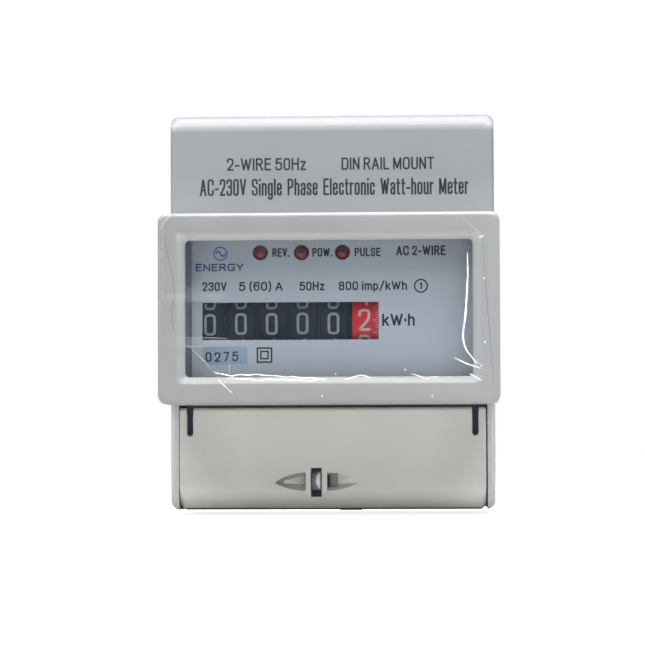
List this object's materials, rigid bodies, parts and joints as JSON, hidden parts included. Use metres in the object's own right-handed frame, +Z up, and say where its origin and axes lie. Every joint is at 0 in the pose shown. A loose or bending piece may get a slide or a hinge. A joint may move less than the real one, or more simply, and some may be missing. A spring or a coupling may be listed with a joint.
{
  "type": "din rail electricity meter",
  "caption": "Modular electronic electricity meter for a standard rail: protruding window bezel with a number-drum register, indicator lights and a hinged sealable terminal cover.",
  "frame": {"origin": "centre of the rail seat: the plane that bears on the front of the rail's lips, at the rail's centre height and mid width", "axes": "+Z up, +Y back towards the rail, +X to the right seen from the front"},
  "size_m": [0.076, 0.0661, 0.0909],
  "materials": {
    "light_grey_shell": "fine satin moulded",
    "warm_grey_shell": "satin moulded",
    "bezel_shell": "semi-gloss moulded",
    "dark_moulding": "satin moulded",
    "clear_window": "clear polished",
    "clear_film": "clear film with creases",
    "printed_plate": "printed satin",
    "black_drum": "satin with light digits",
    "red_drum": "satin with light digits",
    "natural_nylon": "natural moulded",
    "zinc_steel": "zinc plated",
    "brass": "machined",
    "copper_wire": "enamelled winding",
    "shunt_metal": "rolled strip",
    "circuit_board": "solder mask",
    "red_indicator": "tinted clear",
    "blue_component": "epoxy dipped",
    "yellow_component": "moulded box"
  },
  "bodies": {
    "housing": {"rear_base": "light_grey_shell", "front_housing": "light_grey_shell", "front_bezel": "bezel_shell", "window_lens": "clear_window", "protective_film": "clear_film", "nameplate": "printed_plate", "housing_screw_left": "zinc_steel", "housing_screw_right": "zinc_steel", "rail_latch_spring": "zinc_steel", "register_frame": "natural_nylon", "pinion_shaft": "zinc_steel", "motor_yoke": "zinc_steel", "motor_coil": "copper_wire", "main_board": "circuit_board", "dropper_capacitor": "yellow_component", "electrolytic_capacitor": "dark_moulding", "varistor": "blue_component", "metering_chip": "dark_moulding", "optocoupler": "dark_moulding", "crystal": "zinc_steel", "indicator_1": "red_indicator", "indicator_2": "red_indicator", "indicator_3": "red_indicator", "terminal_block": "dark_moulding", "main_clamp_1": "brass", "main_clamp_2": "brass", "main_clamp_3": "brass", "main_clamp_4": "brass", "pulse_clamp_1": "brass", "pulse_clamp_2": "brass", "current_shunt": "shunt_metal", "neutral_link": "brass"},
    "drive_train": {"digit_drum_tenths": "red_drum", "drum_shaft": "zinc_steel", "drive_gear": "natural_nylon"},
    "drum_1": {"digit_drum_1": "black_drum"},
    "drum_10": {"digit_drum_10": "black_drum"},
    "drum_100": {"digit_drum_100": "black_drum"},
    "drum_1000": {"digit_drum_1000": "black_drum"},
    "drum_10000": {"digit_drum_10000": "black_drum"},
    "pinion_1": {"transfer_pinion_1": "natural_nylon"},
    "pinion_2": {"transfer_pinion_2": "natural_nylon"},
    "pinion_3": {"transfer_pinion_3": "natural_nylon"},
    "pinion_4": {"transfer_pinion_4": "natural_nylon"},
    "pinion_5": {"transfer_pinion_5": "natural_nylon"},
    "rotor": {"motor_rotor": "dark_moulding"},
    "cover": {"terminal_cover": "warm_grey_shell"},
    "latch": {"rail_latch": "light_grey_shell"},
    "clamp_screw_1": {"main_screw_1": "zinc_steel"},
    "clamp_screw_2": {"main_screw_2": "zinc_steel"},
    "clamp_screw_3": {"main_screw_3": "zinc_steel"},
    "clamp_screw_4": {"main_screw_4": "zinc_steel"},
    "pulse_clamp_screw_1": {"pulse_screw_1": "zinc_steel"},
    "pulse_clamp_screw_2": {"pulse_screw_2": "zinc_steel"}
  },
  "joints": [
    {"name": "register_drive", "type": "hinge", "parent": "housing", "child": "drive_train", "pos_m": [0, -0.0415, -0.00245], "axis": [-1, 0, 0], "continuous": true},
    {"name": "drum_1_turn", "type": "hinge", "parent": "housing", "child": "drum_1", "pos_m": [0.0013, -0.0415, -0.00245], "axis": [-1, 0, 0], "continuous": true},
    {"name": "drum_10_turn", "type": "hinge", "parent": "housing", "child": "drum_10", "pos_m": [-0.00565, -0.0415, -0.00245], "axis": [-1, 0, 0], "continuous": true},
    {"name": "drum_100_turn", "type": "hinge", "parent": "housing", "child": "drum_100", "pos_m": [-0.0126, -0.0415, -0.00245], "axis": [-1, 0, 0], "continuous": true},
    {"name": "drum_1000_turn", "type": "hinge", "parent": "housing", "child": "drum_1000", "pos_m": [-0.01955, -0.0415, -0.00245], "axis": [-1, 0, 0], "continuous": true},
    {"name": "drum_10000_turn", "type": "hinge", "parent": "housing", "child": "drum_10000", "pos_m": [-0.0265, -0.0415, -0.00245], "axis": [-1, 0, 0], "continuous": true},
    {"name": "pinion_1_turn", "type": "hinge", "parent": "housing", "child": "pinion_1", "pos_m": [0.00477, -0.03344, -0.01051], "axis": [-1, 0, 0], "continuous": true},
    {"name": "pinion_2_turn", "type": "hinge", "parent": "housing", "child": "pinion_2", "pos_m": [-0.00217, -0.03344, -0.01051], "axis": [-1, 0, 0], "continuous": true},
    {"name": "pinion_3_turn", "type": "hinge", "parent": "housing", "child": "pinion_3", "pos_m": [-0.00912, -0.03344, -0.01051], "axis": [-1, 0, 0], "continuous": true},
    {"name": "pinion_4_turn", "type": "hinge", "parent": "housing", "child": "pinion_4", "pos_m": [-0.01607, -0.03344, -0.01051], "axis": [-1, 0, 0], "continuous": true},
    {"name": "pinion_5_turn", "type": "hinge", "parent": "housing", "child": "pinion_5", "pos_m": [-0.02303, -0.03344, -0.01051], "axis": [-1, 0, 0], "continuous": true},
    {"name": "rotor_turn", "type": "hinge", "parent": "housing", "child": "rotor", "pos_m": [0.0154, -0.0415, -0.0115], "axis": [-1, 0, 0], "continuous": true},
    {"name": "cover_hinge", "type": "hinge", "parent": "housing", "child": "cover", "pos_m": [0, -0.0396, -0.0253], "axis": [-1, 0, 0], "range_deg": [0, 90]},
    {"name": "latch_slide", "type": "slide", "parent": "housing", "child": "latch", "axis": [0, 0, -1], "range_m": [0, 0.005], "deforming": ["rail_latch_spring"]},
    {"name": "main_screw_1_travel", "type": "slide", "parent": "housing", "child": "clamp_screw_1", "axis": [0, -1, 0], "range_m": [0, 0.004]},
    {"name": "main_screw_2_travel", "type": "slide", "parent": "housing", "child": "clamp_screw_2", "axis": [0, -1, 0], "range_m": [0, 0.004]},
    {"name": "main_screw_3_travel", "type": "slide", "parent": "housing", "child": "clamp_screw_3", "axis": [0, -1, 0], "range_m": [0, 0.004]},
    {"name": "main_screw_4_travel", "type": "slide", "parent": "housing", "child": "clamp_screw_4", "axis": [0, -1, 0], "range_m": [0, 0.004]},
    {"name": "pulse_screw_1_travel", "type": "slide", "parent": "housing", "child": "pulse_clamp_screw_1", "axis": [0, -1, 0], "range_m": [0, 0.002]},
    {"name": "pulse_screw_2_travel", "type": "slide", "parent": "housing", "child": "pulse_clamp_screw_2", "axis": [0, -1, 0], "range_m": [0, 0.002]}
  ],
  "couplings": [
    {"joint": "drum_1_turn", "follows": "register_drive", "ratio": 0.1},
    {"joint": "drum_10_turn", "follows": "register_drive", "ratio": 0.01},
    {"joint": "drum_100_turn", "follows": "register_drive", "ratio": 0.001},
    {"joint": "drum_1000_turn", "follows": "register_drive", "ratio": 0.0001},
    {"joint": "drum_10000_turn", "follows": "register_drive", "ratio": 0.00001},
    {"joint": "pinion_1_turn", "follows": "register_drive", "ratio": -0.25},
    {"joint": "pinion_2_turn", "follows": "register_drive", "ratio": -0.025},
    {"joint": "pinion_3_turn", "follows": "register_drive", "ratio": -0.0025},
    {"joint": "pinion_4_turn", "follows": "register_drive", "ratio": -0.00025},
    {"joint": "pinion_5_turn", "follows": "register_drive", "ratio": -0.000025},
    {"joint": "rotor_turn", "follows": "register_drive", "ratio": -4}
  ]
}
